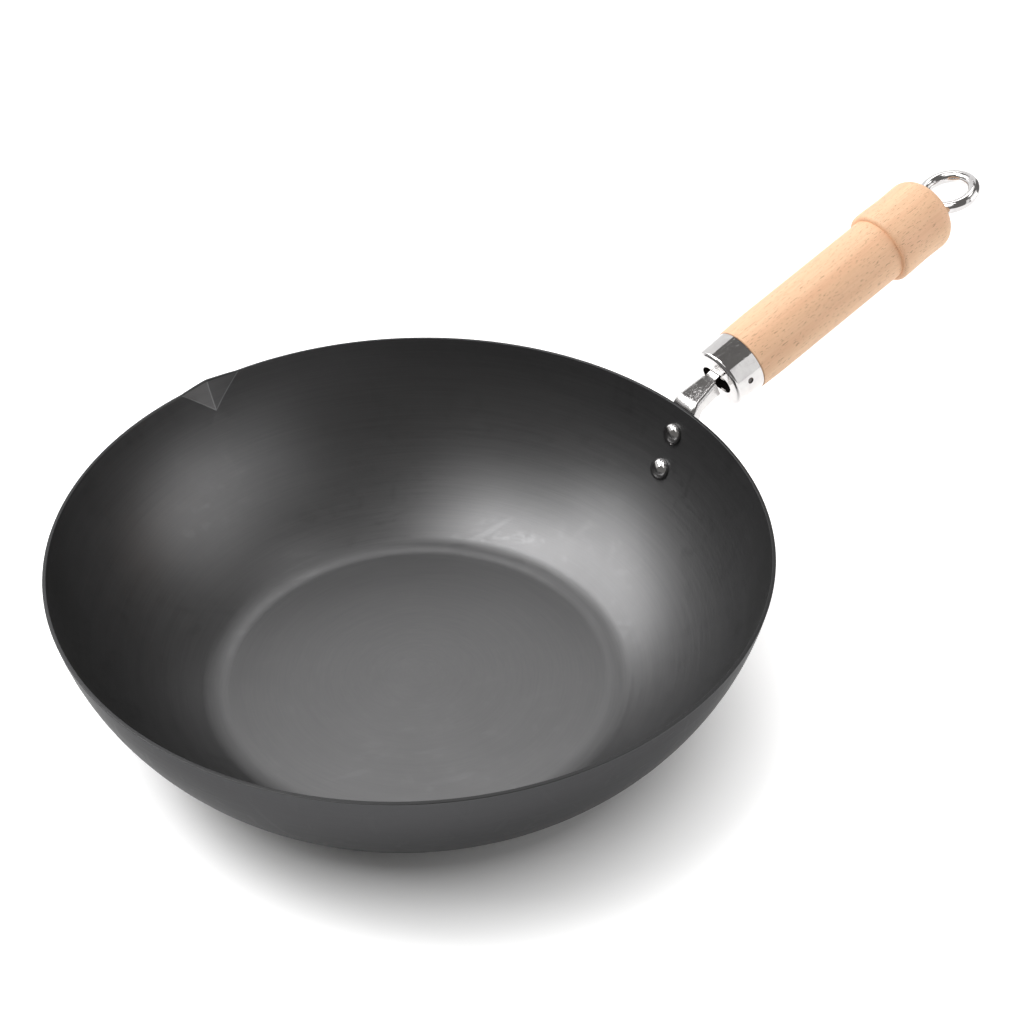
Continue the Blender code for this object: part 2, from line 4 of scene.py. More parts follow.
import bpy
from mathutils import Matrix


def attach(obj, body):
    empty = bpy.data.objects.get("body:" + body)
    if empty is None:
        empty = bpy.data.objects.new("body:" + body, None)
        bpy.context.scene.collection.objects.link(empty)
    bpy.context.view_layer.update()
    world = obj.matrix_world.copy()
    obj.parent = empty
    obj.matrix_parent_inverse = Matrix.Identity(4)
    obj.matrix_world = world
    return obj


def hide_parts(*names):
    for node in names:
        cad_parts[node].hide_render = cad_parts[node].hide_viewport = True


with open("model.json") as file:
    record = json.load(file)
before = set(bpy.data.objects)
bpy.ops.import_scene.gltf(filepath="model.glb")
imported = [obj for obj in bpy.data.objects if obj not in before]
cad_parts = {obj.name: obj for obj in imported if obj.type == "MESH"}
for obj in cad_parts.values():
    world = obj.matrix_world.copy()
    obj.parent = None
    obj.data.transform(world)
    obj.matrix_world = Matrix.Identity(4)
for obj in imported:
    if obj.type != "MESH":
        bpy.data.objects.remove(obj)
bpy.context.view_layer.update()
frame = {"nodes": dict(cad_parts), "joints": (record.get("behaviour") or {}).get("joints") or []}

bpy.ops.object.select_all(action="DESELECT")


# Camera. It looks down into the pan across the rim, with the handle running away to the
# upper right, at the height, distance and angle of the photograph.
bpy.ops.object.camera_add(location=(-0.31643, -0.47900, 0.54524),
                          rotation=(math.radians(51.69), 0.0, math.radians(-37.60)))
camera = bpy.context.object
camera.name = "camera"
camera.data.lens = 62.578
camera.data.sensor_width = 36.0
bpy.context.scene.camera = camera


# Pan body. One round of iron sheet pressed into a deep bowl with a curved wall, a rounded
# rim edge and a flat base. The inside is turned and then the sheet nitrided, which leaves
# it dark grey with a satin sheen and faint rings; the outside is darker as painted shade.
RIM_RADIUS = 0.150
PAN_HEIGHT = 0.0816
WALL_FOOT_RADIUS = 0.0886
WALL_FOOT_SLOPE = math.radians(24.9)
BASE_BLEND_RADIUS = 0.026
PAN_SHEET = 0.0016
RIM_ROUNDING = 0.0003
BASE_MARGIN = 0.004
PAN_FACETS, WALL_RINGS, BLEND_RINGS, RIM_RINGS = 244, 19, 8, 4


def spread(start, end, count):
    """Evenly spaced values from start to end, both included."""
    return [start + (end - start) * i / count for i in range(count + 1)]


def arc(centre, radius, start, end, count):
    """Points of (radius, height) on an arc, by angle from straight outwards."""
    return [(centre[0] + radius * math.cos(math.radians(a)),
             centre[1] + radius * math.sin(math.radians(a)))
            for a in spread(start, end, count)]


wall_run = RIM_RADIUS - WALL_FOOT_RADIUS
rim_slope = 2 * math.atan2(PAN_HEIGHT, wall_run) - WALL_FOOT_SLOPE
wall_radius = math.hypot(wall_run, PAN_HEIGHT) / (
    2 * math.sin((rim_slope - WALL_FOOT_SLOPE) / 2))
wall_centre = (WALL_FOOT_RADIUS - wall_radius * math.sin(WALL_FOOT_SLOPE),
               wall_radius * math.cos(WALL_FOOT_SLOPE))


def wall_point(slope, outwards=0.0):
    """Radius and height of the wall's outer face where it has this slope."""
    reach = wall_radius + outwards
    return (wall_centre[0] + reach * math.sin(slope),
            wall_centre[1] - reach * math.cos(slope))


def wall_slope(height, outwards=0.0):
    """Slope of a face of the wall at this height, in the same terms as wall_point."""
    return math.acos((wall_centre[1] - height) / (wall_radius + outwards))


rim_cut = wall_slope(PAN_HEIGHT, -PAN_SHEET)


def bowl_side(inside):
    """Outline of one face of the sheet from the flat base up to the rim's rounding."""
    rise = wall_centre[1] - BASE_BLEND_RADIUS
    run = math.sqrt((wall_radius - BASE_BLEND_RADIUS) ** 2 - rise ** 2)
    blend_x, blend_slope = wall_centre[0] + run, math.atan2(run, rise)
    small = BASE_BLEND_RADIUS - inside
    points = [(blend_x - BASE_MARGIN, inside)]
    for slope in spread(0.0, blend_slope, BLEND_RINGS):
        points.append((blend_x + small * math.sin(slope),
                       BASE_BLEND_RADIUS - small * math.cos(slope)))
    for slope in spread(blend_slope, rim_cut - RIM_ROUNDING / wall_radius, WALL_RINGS)[1:]:
        points.append(wall_point(slope, -inside))
    return points


def pick_only(piece):
    """Select one piece alone and make it the active one."""
    bpy.ops.object.select_all(action="DESELECT")
    bpy.context.view_layer.objects.active = piece
    piece.select_set(True)


def edit_all():
    """Go into edit mode with everything selected."""
    bpy.ops.object.mode_set(mode="EDIT")
    bpy.ops.mesh.select_all(action="SELECT")


def turn_on_lathe(name, outline, facets, bored=False):
    """Draw an outline of (radius, height) points round Z, one ring after another.

    A bored outline is closed. Any other has its two ends filled with flat faces.
    """
    radius, height = outline[0]
    bpy.ops.object.select_all(action="DESELECT")
    bpy.ops.mesh.primitive_circle_add(vertices=facets, radius=radius)
    piece = bpy.context.object
    piece.name = piece.data.name = name
    edit_all()
    bpy.ops.transform.translate(value=(0.0, 0.0, height))
    ends = outline[1:] + outline[:1] if bored else outline[1:]
    for next_radius, next_height in ends:
        bpy.ops.mesh.extrude_edges_move(
            TRANSFORM_OT_translate={"value": (0.0, 0.0, next_height - height)})
        growth = next_radius / radius
        bpy.ops.transform.resize(value=(growth, growth, 1.0),
                                 center_override=(0.0, 0.0, next_height))
        radius, height = next_radius, next_height
    bpy.ops.mesh.select_all(action="SELECT")
    if bored:
        bpy.ops.mesh.remove_doubles(threshold=1e-6)
    else:
        bpy.ops.mesh.fill_holes(sides=facets)
        bpy.ops.mesh.select_all(action="SELECT")
    bpy.ops.mesh.normals_make_consistent(inside=False)
    bpy.ops.object.mode_set(mode="OBJECT")
    return piece


outer_side, inner_side = bowl_side(0.0), bowl_side(PAN_SHEET)
rim_edge = []
for inset, start in ((RIM_ROUNDING, -90), (PAN_SHEET - RIM_ROUNDING, 0)):
    turn = math.degrees(rim_cut) + start
    middle = wall_point(rim_cut - RIM_ROUNDING / wall_radius, -inset)
    rim_edge += arc(middle, RIM_ROUNDING, turn, turn + 90, RIM_RINGS)
pan = turn_on_lathe("pan_bowl", outer_side[:-1] + rim_edge + inner_side[-2::-1], PAN_FACETS)

# Pouring spout of the pan body. A V is scored into the rim by three creases and pinched
# outwards, most at the rim in its middle.
SPOUT_AZIMUTH = math.radians(94.0)
SPOUT_HALF_WIDTH = 0.0155
SPOUT_DEPTH = 0.014
SPOUT_REACH = 0.0022
SPOUT_MARGIN = 0.008
CREASE_ROUNDING = 0.0003
CREASE_TOLERANCE = 1e-3
CREASE_PAST_TIP, CREASE_PAST_RIM = 0.01, 0.02

spout_out = (math.cos(SPOUT_AZIMUTH), math.sin(SPOUT_AZIMUTH))


def spout_share(point):
    """How far a point is beside the spout's middle and over its tip, as shares of the V's
    half width and depth. The far side of the bowl counts as under it."""
    beside = point[1] * spout_out[0] - point[0] * spout_out[1]
    outwards = point[0] * spout_out[0] + point[1] * spout_out[1]
    over = point[2] - PAN_HEIGHT + SPOUT_DEPTH if outwards > 0.0 else -PAN_HEIGHT
    return beside / SPOUT_HALF_WIDTH, over / SPOUT_DEPTH


def is_by_spout(face):
    """True for a face that one of the creases may cut, with a margin round the V."""
    beside, over = spout_share(face.center)
    return (abs(beside) < 1.0 + SPOUT_MARGIN / SPOUT_HALF_WIDTH
            and over > -SPOUT_MARGIN / SPOUT_DEPTH)


def is_crease(edge, mesh):
    """True for an edge that lies along one of the V's three lines."""
    spots = [spout_share(mesh.vertices[i].co) for i in edge.vertices]
    on_middle = all(abs(beside) < CREASE_TOLERANCE and over > -CREASE_PAST_TIP
                    for beside, over in spots)
    on_side = all(abs(over - abs(beside)) < CREASE_TOLERANCE
                  and abs(beside) < 1.0 + CREASE_PAST_RIM for beside, over in spots)
    return on_middle or on_side


spout_tip = (RIM_RADIUS * spout_out[0], RIM_RADIUS * spout_out[1], PAN_HEIGHT - SPOUT_DEPTH)
slant = math.atan2(SPOUT_DEPTH, SPOUT_HALF_WIDTH)
bpy.context.tool_settings.mesh_select_mode = (False, False, True)
for lean in (math.pi / 2, slant, -slant):
    for face in pan.data.polygons:
        face.select = is_by_spout(face)
    sideways = -math.sin(lean)
    bpy.ops.object.mode_set(mode="EDIT")
    bpy.ops.mesh.bisect(plane_co=spout_tip, threshold=1e-7,
                        plane_no=(-spout_out[1] * sideways, spout_out[0] * sideways,
                                  math.cos(lean)))
    bpy.ops.object.mode_set(mode="OBJECT")

bpy.context.tool_settings.mesh_select_mode = (False, True, False)
bpy.ops.object.mode_set(mode="EDIT")
bpy.ops.mesh.select_all(action="DESELECT")
bpy.ops.object.mode_set(mode="OBJECT")
for edge in pan.data.edges:
    edge.select = is_crease(edge, pan.data)
bpy.ops.object.mode_set(mode="EDIT")
bpy.ops.mesh.mark_sharp()
bpy.ops.object.mode_set(mode="OBJECT")

pinch = pan.vertex_groups.new(name="pinch")
for vert in pan.data.vertices:
    beside, over = spout_share(vert.co)
    pull = over - abs(beside)
    if pull > 0.0:
        pinch.add([vert.index], min(pull, 1.0), "REPLACE")
for way, amount in zip("XY", spout_out):
    step = pan.modifiers.new("pinch_" + way, "DISPLACE")
    step.vertex_group = "pinch"
    step.direction = way
    step.mid_level = 0.0
    step.strength = SPOUT_REACH * amount
    bpy.ops.object.modifier_apply(modifier=step.name)

for edge in pan.data.edges:
    edge.select = edge.use_edge_sharp
bpy.ops.object.mode_set(mode="EDIT")
bpy.ops.mesh.bevel(offset=CREASE_ROUNDING, segments=2, affect="EDGES")
bpy.ops.object.mode_set(mode="OBJECT")
# Painted highlight: the faces that round the creases on the inside are marked here, and the
# iron's material colours them a lighter grey, as a bright line along each crease.
painted_crease_highlight = pan.data.attributes.new("painted_crease_highlight", "FLOAT", "FACE")
for face in pan.data.polygons:
    painted_crease_highlight.data[face.index].value = 1.0 if face.select and face.normal.z > 0.0 else 0.0
bpy.ops.object.mode_set(mode="EDIT")
bpy.ops.mesh.select_all(action="SELECT")
bpy.ops.mesh.mark_sharp(clear=True)
bpy.ops.object.mode_set(mode="OBJECT")

# Rivet holes of the pan body. Two holes are drilled square through the wall where the
# handle is to go, each a little wider than the rivet's shank.
RIVET_DROPS = {"upper_rivet": 0.0138, "lower_rivet": 0.0310}
RIVET_SHANK_RADIUS = 0.0024
RIVET_DRILL_LENGTH = 0.02
RIVET_FACETS = 48
FIT_GAP = 0.0003
SOFT_FOLD = 40
OUTSIDE_NORMAL = -0.02


def rivet_seat(drop):
    """Where a rivet crosses the wall's outer face, and the tilt of its own axis."""
    slope = wall_slope(PAN_HEIGHT - drop)
    x, z = wall_point(slope)
    return (x, 0.0, z), (0.0, math.pi - slope, 0.0)


def cut_away(piece, cutter, operation="DIFFERENCE"):
    """Work a cutter into a piece with a Boolean, and throw the cutter away."""
    pick_only(piece)
    step = piece.modifiers.new("cut", "BOOLEAN")
    step.operation = operation
    step.solver = "EXACT"
    step.object = cutter
    bpy.ops.object.modifier_apply(modifier=step.name)
    bpy.data.objects.remove(cutter)


def smooth_up_to(piece, degrees):
    """Shade smoothly across every fold that is flatter than this."""
    pick_only(piece)
    bpy.ops.object.shade_smooth_by_angle(angle=math.radians(degrees))


def even_shading(piece):
    """Let broad faces keep their own direction, so that only the folds shade softly."""
    step = piece.modifiers.new("even_shading", "WEIGHTED_NORMAL")
    step.weight = 100
    step.keep_sharp = True
    bpy.ops.object.modifier_apply(modifier=step.name)


for drop in RIVET_DROPS.values():
    place, tilt = rivet_seat(drop)
    bpy.ops.mesh.primitive_cylinder_add(vertices=RIVET_FACETS,
                                        radius=RIVET_SHANK_RADIUS + FIT_GAP,
                                        depth=RIVET_DRILL_LENGTH,
                                        location=place, rotation=tilt)
    cut_away(pan, bpy.context.object)
smooth_up_to(pan, SOFT_FOLD)
even_shading(pan)


def add_node(tree, kind, inputs, **settings):
    """A shader node whose inputs are given values or the sockets that feed them."""
    made = tree.nodes.new("ShaderNode" + kind)
    for name, value in settings.items():
        setattr(made, name, value)
    for name, value in inputs.items():
        if isinstance(value, bpy.types.NodeSocket):
            tree.links.new(value, made.inputs[name])
        else:
            made.inputs[name].default_value = value
    return made


def scale_range(tree, value, low, high, to_low, to_high):
    """Map a value from one range to another, held at the ends."""
    return add_node(tree, "MapRange", {"Value": value, "From Min": low, "From Max": high,
                                       "To Min": to_low, "To Max": to_high}).outputs[0]


def figure(tree, operation, first, second):
    """One figure worked out of two values or sockets."""
    return add_node(tree, "Math", {0: first, 1: second}, operation=operation).outputs[0]


def stretch(tree, vector, scales):
    """A vector with each of its parts scaled by its own amount."""
    return add_node(tree, "VectorMath", {0: vector, 1: scales},
                    operation="MULTIPLY").outputs[0]


def between(tree, share, first, second):
    """A colour between two others."""
    return add_node(tree, "Mix", {0: share, 6: first, 7: second},
                    data_type="RGBA").outputs[2]


def new_group(name, inputs, output):
    """An empty shader node group with float inputs, a vector input and one output."""
    tree = bpy.data.node_groups.new(name, "ShaderNodeTree")
    tree.interface.new_socket("Vector", in_out="INPUT", socket_type="NodeSocketVector")
    for label, value in inputs.items():
        socket = tree.interface.new_socket(label, in_out="INPUT",
                                           socket_type="NodeSocketFloat")
        socket.default_value = value
    tree.interface.new_socket(output, in_out="OUTPUT", socket_type="NodeSocketFloat")
    return tree, tree.nodes.new("NodeGroupInput"), tree.nodes.new("NodeGroupOutput")


def smudge_group():
    """Soft blotches left by hands and cloths, from 0 to 1, at a given size."""
    tree, given, made = new_group("hand_smudges", {"Size": 0.02}, "Mask")
    scale = figure(tree, "DIVIDE", 1.0, given.outputs["Size"])
    blotch = add_node(tree, "TexNoise", {"Vector": given.outputs["Vector"],
                                         "Scale": scale, "Detail": 4.0,
                                         "Roughness": 0.6, "Distortion": 0.4})
    mask = scale_range(tree, blotch.outputs[0], 0.35, 0.68, 0.0, 1.0)
    tree.links.new(mask, made.inputs["Mask"])
    return tree


def scratch_group():
    """Thin crossing scratches, 1 on a scratch and 0 off it."""
    tree, given, made = new_group("fine_scratches", {"Spacing": 0.004}, "Mask")
    masks = []
    wide = add_node(tree, "CombineXYZ",
                    {axis: given.outputs["Spacing"] for axis in range(3)})
    for turn in (0.35, 1.5, 2.6):
        turned = add_node(tree, "Mapping", {"Vector": given.outputs["Vector"],
                                            "Rotation": (turn, 0.4 * turn, turn)})
        spaced = add_node(tree, "VectorMath", {
            0: stretch(tree, turned.outputs[0], (1.0, 14.0, 14.0)), 1: wide.outputs[0]},
            operation="DIVIDE")
        cells = add_node(tree, "TexNoise", {"Vector": spaced.outputs[0], "Scale": 0.12,
                                            "Detail": 1.0, "Distortion": 0.15})
        masks.append(scale_range(tree, cells.outputs[0], 0.66, 0.70, 0.0, 1.0))
    both = figure(tree, "MAXIMUM", masks[0], masks[1])
    tree.links.new(figure(tree, "MAXIMUM", both, masks[2]), made.inputs["Mask"])
    return tree


smudges, scratches = smudge_group(), scratch_group()


def add_group(tree, group, inputs):
    """The mask that a shared group gives for these inputs."""
    return add_node(tree, "Group", inputs, node_tree=group).outputs[0]


def start_material(name):
    """A material's node tree, its shader, and the piece's own coordinates."""
    made = bpy.data.materials.new(name)
    made.use_nodes = True
    tree = made.node_tree
    place = add_node(tree, "TexCoord", {}).outputs["Object"]
    return made, tree, tree.nodes["Principled BSDF"], place


def add_terms(tree, *terms):
    """Sum of values and sockets."""
    total = terms[0]
    for term in terms[1:]:
        total = figure(tree, "ADD", total, term)
    return total


def finish_surface(tree, shader, colour, rough, relief, depth):
    """Give a shader its colour and roughness, and a relief of this depth."""
    bump = add_node(tree, "Bump", {"Height": relief, "Strength": 1.0, "Distance": depth})
    tree.links.new(colour, shader.inputs["Base Color"])
    tree.links.new(rough, shader.inputs["Roughness"])
    tree.links.new(bump.outputs[0], shader.inputs["Normal"])


# The outside faces, which the iron's material colours darker as painted shade.
outside = pan.data.attributes.new("outside", "FLOAT", "FACE")
for face in pan.data.polygons:
    outside.data[face.index].value = 1.0 if face.normal.z < OUTSIDE_NORMAL else 0.0


def make_nitrided_iron():
    """Dark satin iron with turned rings inside, plainer outside and darker there as painted
    shade, with a painted highlight on the spout's creases and a darker rounded top at the rim."""
    made, tree, shader, place = start_material("nitrided_iron")
    flat = stretch(tree, place, (1.0, 1.0, 0.0))
    radius = add_node(tree, "VectorMath", {0: flat}, operation="LENGTH").outputs["Value"]
    facing = add_node(tree, "VectorMath", {0: flat}, operation="NORMALIZE").outputs[0]
    parts = add_node(tree, "SeparateXYZ", {0: facing})
    height = add_node(tree, "SeparateXYZ", {0: place}).outputs[2]
    path = add_terms(tree, radius, height)
    tone = []
    for wide, dense in ((1.6, 260.0), (3.4, 1100.0)):
        ring = add_node(tree, "CombineXYZ", {
            0: figure(tree, "MULTIPLY", parts.outputs[0], wide),
            1: figure(tree, "MULTIPLY", parts.outputs[1], wide),
            2: figure(tree, "MULTIPLY", path, dense)})
        noise = add_node(tree, "TexNoise", {"Vector": ring.outputs[0], "Scale": 1.0,
                                            "Detail": 3.0, "Roughness": 0.6})
        tone.append(noise.outputs[0])
    smudge = add_group(tree, smudges, {"Vector": place, "Size": 0.05})
    scratch = add_group(tree, scratches, {"Vector": place, "Spacing": 0.010})
    shade = add_terms(tree, scale_range(tree, tone[0], 0.3, 0.7, 0.15, 0.35),
                      scale_range(tree, tone[1], 0.3, 0.7, 0.0, 0.5))
    turned = between(tree, shade, (0.125, 0.125, 0.127, 1.0), (0.150, 0.149, 0.150, 1.0))
    # Painted shade: the outside faces are coloured about half as bright as the inside.
    outside_shade = add_node(tree, "Attribute", {}, attribute_name="outside").outputs["Fac"]
    sheet = between(tree, outside_shade, turned, (0.062, 0.062, 0.064, 1.0))
    # Painted highlight: the marked crease faces are coloured a lighter grey.
    crease = add_node(tree, "Attribute", {}, attribute_name="painted_crease_highlight").outputs["Fac"]
    creased = between(tree, crease, sheet, (0.22, 0.22, 0.225, 1.0))
    # The rim's rounded top is coloured about as dark as the outside.
    out = add_terms(tree, radius, -wall_centre[0])
    down = figure(tree, "SUBTRACT", wall_centre[1], height)
    slope = figure(tree, "ARCTAN2", out, down)
    is_rim = scale_range(tree, slope, rim_cut - 0.0004 / wall_radius,
                         rim_cut - 0.0001 / wall_radius, 0.0, 1.0)
    colour = between(tree, is_rim, creased, (0.060, 0.060, 0.061, 1.0))
    rough = add_terms(tree, scale_range(tree, tone[1], 0.3, 0.7, 0.35, 0.40),
                      scale_range(tree, smudge, 0.0, 1.0, 0.0, 0.035),
                      scale_range(tree, scratch, 0.0, 1.0, 0.0, -0.03))
    shader.inputs["Metallic"].default_value = 0.9
    shader.inputs["Specular Tint"].default_value = (0.5, 0.5, 0.5, 1.0)
    on_wall = scale_range(tree, height, 0.002, 0.014, 0.3, 1.0)
    groove = figure(tree, "MULTIPLY", tone[1], on_wall)
    finish_surface(tree, shader, colour, rough, groove, 0.000008)
    return made


pan.data.materials.append(make_nitrided_iron())
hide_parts("pan_body")
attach(pan, "pan")


# Handle bracket. One strip of plated steel lies on the wall under the rivets, bends out
# over the rim, and has its sides folded down so that it narrows to the handle. Its
# middle runs on through the ferrule as the tang.
SHEET_EDGE_ROUNDING = 0.00022
SHARP_EDGE = 50
FLAT_ENOUGH = 0.6

bracket = bpy.data.objects.new("folded_bracket",
                               frame["nodes"]["handle_bracket"].data.copy())
bracket.data.name = "folded_bracket"
bracket.data.materials.clear()
bpy.context.scene.collection.objects.link(bracket)
pick_only(bracket)
edit_all()
bpy.ops.mesh.remove_doubles(threshold=1e-6)
bpy.ops.mesh.dissolve_limited(angle_limit=math.radians(FLAT_ENOUGH))
bpy.ops.object.mode_set(mode="OBJECT")


def soften_edges(piece, width):
    """Round off every sharp edge."""
    pick_only(piece)
    step = piece.modifiers.new("soften", "BEVEL")
    step.width = width
    step.segments = 2
    step.limit_method = "ANGLE"
    step.angle_limit = math.radians(SHARP_EDGE)
    bpy.ops.object.modifier_apply(modifier=step.name)


soften_edges(bracket, SHEET_EDGE_ROUNDING)
smooth_up_to(bracket, SOFT_FOLD)
even_shading(bracket)


def make_plate(name, rough, grain, peel):
    """Bright nickel plating over steel, as rough as its polish leaves it, with the grain
    and the depth of its orange peel."""
    made, tree, shader, place = start_material(name)
    smudge = add_group(tree, smudges, {"Vector": place, "Size": 0.006})
    scratch = add_group(tree, scratches, {"Vector": place, "Spacing": 0.0025})
    pits = add_node(tree, "TexNoise", {"Vector": place, "Scale": 1.0 / grain,
                                       "Detail": 3.0, "Roughness": 0.55}).outputs[0]
    colour = between(tree, smudge, (0.70, 0.69, 0.68, 1.0), (0.64, 0.62, 0.62, 1.0))
    finish = add_terms(tree, scale_range(tree, smudge, 0.0, 1.0, rough, rough + 0.05),
                       scale_range(tree, scratch, 0.0, 1.0, 0.0, 0.10))
    shader.inputs["Metallic"].default_value = 1.0
    finish_surface(tree, shader, colour, finish, pits, peel)
    return made


bracket.data.materials.append(make_plate("pressed_plate", 0.10, 0.0005, 0.00004))
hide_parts("handle_bracket")
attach(bracket, "pan")


# Rivets. Two plated steel rivets, set from inside the bowl, with a domed head there and a
# tail peened flat against the bracket outside.
RIVET_HEAD_RADIUS = 0.0050
RIVET_HEAD_HEIGHT = 0.0028
RIVET_TAIL_RADIUS = 0.0042
RIVET_TAIL_HEIGHT = 0.0019
RIVET_EDGE_HEIGHT = 0.0004
RIVET_EDGE_ROUNDING = 0.00012
RIVET_HEAD_RINGS, RIVET_TAIL_RINGS = 10, 8
DOME_TOP = math.radians(84.0)

polished_plate = make_plate("polished_plate", 0.045, 0.0016, 0.00003)


def dome(base, height, radius, count):
    """Quarter-oval outline from the edge of a head nearly to the middle of its top."""
    return [(radius * math.cos(a), base + height * math.sin(a))
            for a in spread(0.0, DOME_TOP, count)]


def apply_place(piece):
    """Bring a piece's place, turn and size into its mesh."""
    pick_only(piece)
    bpy.ops.object.transform_apply(location=True, rotation=True, scale=True)


wall_hollow = RIVET_HEAD_RADIUS ** 2 / (2 * wall_radius)
head_seat = -PAN_SHEET - FIT_GAP - wall_hollow
tail_seat = PAN_SHEET + 2 * FIT_GAP
rivet_outline = dome(head_seat - RIVET_EDGE_HEIGHT, RIVET_EDGE_HEIGHT - RIVET_HEAD_HEIGHT,
                     RIVET_HEAD_RADIUS, RIVET_HEAD_RINGS)[::-1]
rivet_outline += [(RIVET_HEAD_RADIUS, head_seat), (RIVET_SHANK_RADIUS, head_seat),
                  (RIVET_SHANK_RADIUS, tail_seat), (RIVET_TAIL_RADIUS, tail_seat)]
rivet_outline += dome(tail_seat + RIVET_EDGE_HEIGHT, RIVET_TAIL_HEIGHT - RIVET_EDGE_HEIGHT,
                      RIVET_TAIL_RADIUS, RIVET_TAIL_RINGS)
for name, drop in RIVET_DROPS.items():
    rivet = turn_on_lathe(name, rivet_outline, RIVET_FACETS)
    rivet.location, rivet.rotation_euler = rivet_seat(drop)
    apply_place(rivet)
    soften_edges(rivet, RIVET_EDGE_ROUNDING)
    smooth_up_to(rivet, SOFT_FOLD)
    rivet.data.materials.append(polished_plate)
    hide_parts("rivet_" + name.split("_")[0])
    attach(rivet, "pan")


# Rod. Bare drawn steel, welded under the tang and run through the whole grip, with a
# rolled thread at its far end for the hanging eye.
EYE_CENTRE = 0.1757
ROD_RADIUS = 0.0030
ROD_START, ROD_END = 0.0246, 0.16545
ROD_TIP_CHAMFER = 0.0006
THREAD_START = 0.1525
THREAD_ROOT_RADIUS = 0.00245
THREAD_PITCH = 0.0010
THREAD_TURNS, THREAD_STEPS = 12, 40
THREAD_RIDGE_RADIUS, THREAD_RIDGE_FLATTENING = 0.00057, 0.80
ROD_FACETS, ROD_SOFT_FOLD = 48, 30

eye_joint = next(j for j in frame["joints"] if j["name"] == "eye_nut_turn")
handle_start = [p - EYE_CENTRE * a for p, a in zip(eye_joint["pos_m"], eye_joint["axis"])]
handle_tilt = math.atan2(eye_joint["axis"][2], eye_joint["axis"][0])


def set_on_handle(piece):
    """Bring a piece from the lathe, turned round Z, onto the handle's axis."""
    piece.location = handle_start
    piece.rotation_euler = (0.0, math.pi / 2 - handle_tilt, 0.0)
    apply_place(piece)


rod_outline = [(ROD_RADIUS - ROD_TIP_CHAMFER, ROD_START),
               (ROD_RADIUS, ROD_START + ROD_TIP_CHAMFER),
               (ROD_RADIUS, THREAD_START - ROD_TIP_CHAMFER),
               (THREAD_ROOT_RADIUS, THREAD_START), (THREAD_ROOT_RADIUS, ROD_END)]
rod = turn_on_lathe("threaded_rod", rod_outline, ROD_FACETS)
bpy.ops.object.select_all(action="DESELECT")
bpy.ops.mesh.primitive_circle_add(vertices=3, radius=THREAD_RIDGE_RADIUS)
thread = bpy.context.object
edit_all()
for axis in "XY":
    bpy.ops.transform.rotate(value=math.pi / 2, orient_axis=axis, center_override=(0, 0, 0))
bpy.ops.transform.resize(value=(1.0, 1.0, THREAD_RIDGE_FLATTENING),
                         center_override=(0, 0, 0))
bpy.ops.object.mode_set(mode="OBJECT")
tip = max(vert.co.x for vert in thread.data.vertices)
edit_all()
bpy.ops.transform.translate(value=(ROD_RADIUS - tip, 0.0, THREAD_START + THREAD_PITCH / 2))
bpy.ops.object.mode_set(mode="OBJECT")
wind = thread.modifiers.new("wind", "SCREW")
wind.axis = "Z"
wind.screw_offset = THREAD_PITCH
wind.iterations = THREAD_TURNS
wind.steps = wind.render_steps = THREAD_STEPS
bpy.ops.object.modifier_apply(modifier=wind.name)
edit_all()
bpy.ops.mesh.remove_doubles(threshold=1e-6)
bpy.ops.mesh.fill_holes(sides=3)
bpy.ops.mesh.select_all(action="SELECT")
bpy.ops.mesh.normals_make_consistent(inside=False)
bpy.ops.object.mode_set(mode="OBJECT")
cut_away(rod, thread, "UNION")
set_on_handle(rod)
smooth_up_to(rod, ROD_SOFT_FOLD)


def make_bare_steel(name, low, high, rough):
    """Bare steel with long drawing marks and a few scratches."""
    made, tree, shader, place = start_material(name)
    turned = add_node(tree, "Mapping", {"Vector": place, "Rotation": (0, handle_tilt, 0)})
    drawn = stretch(tree, turned.outputs[0], (60.0, 2400.0, 2400.0))
    marks = add_node(tree, "TexNoise", {"Vector": drawn, "Scale": 1.0,
                                        "Detail": 2.0}).outputs[0]
    scratch = add_group(tree, scratches, {"Vector": place, "Spacing": 0.002})
    colour = between(tree, marks, low, high)
    finish = add_terms(tree, scale_range(tree, marks, 0.3, 0.7, rough - 0.06, rough + 0.06),
                       scale_range(tree, scratch, 0.0, 1.0, 0.0, 0.08))
    shader.inputs["Metallic"].default_value = 1.0
    finish_surface(tree, shader, colour, finish, marks, 0.00001)
    return made


rod.data.materials.append(make_bare_steel("rod_steel", (0.38, 0.37, 0.36, 1.0),
                                          (0.50, 0.49, 0.48, 1.0), 0.34))
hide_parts("core_rod")
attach(rod, "pan")


# Ferrule. A cup drawn from thin steel and polished, pressed over the grip's front. Its
# front wall has a round-ended slot for the bracket's neck, its side a hole for the brad.
FERRULE_FRONT, FERRULE_LENGTH = 0.0218, 0.0151
FERRULE_FRONT_RADIUS, FERRULE_BACK_RADIUS = 0.0148, 0.0152
FERRULE_SHEET = 0.0008
FERRULE_CORNER = 0.0016
FERRULE_EDGE_ROUNDING = 0.00016
FERRULE_HOLE_RADIUS, FERRULE_FLAT_RADIUS = 0.003, 0.0118
FERRULE_FACETS, CORNER_RINGS, INNER_CORNER_RINGS = 144, 8, 5
SLOT_HALF_WIDTH, SLOT_HALF_HEIGHT = 0.0089, 0.0051
BRAD_BEHIND_FRONT = 0.0080
BRAD_ANGLE = math.radians(171.0)
BRAD_RADIUS, BRAD_HEAD_RADIUS = 0.0008, 0.0012
BRAD_DRILL_LENGTH = 0.010

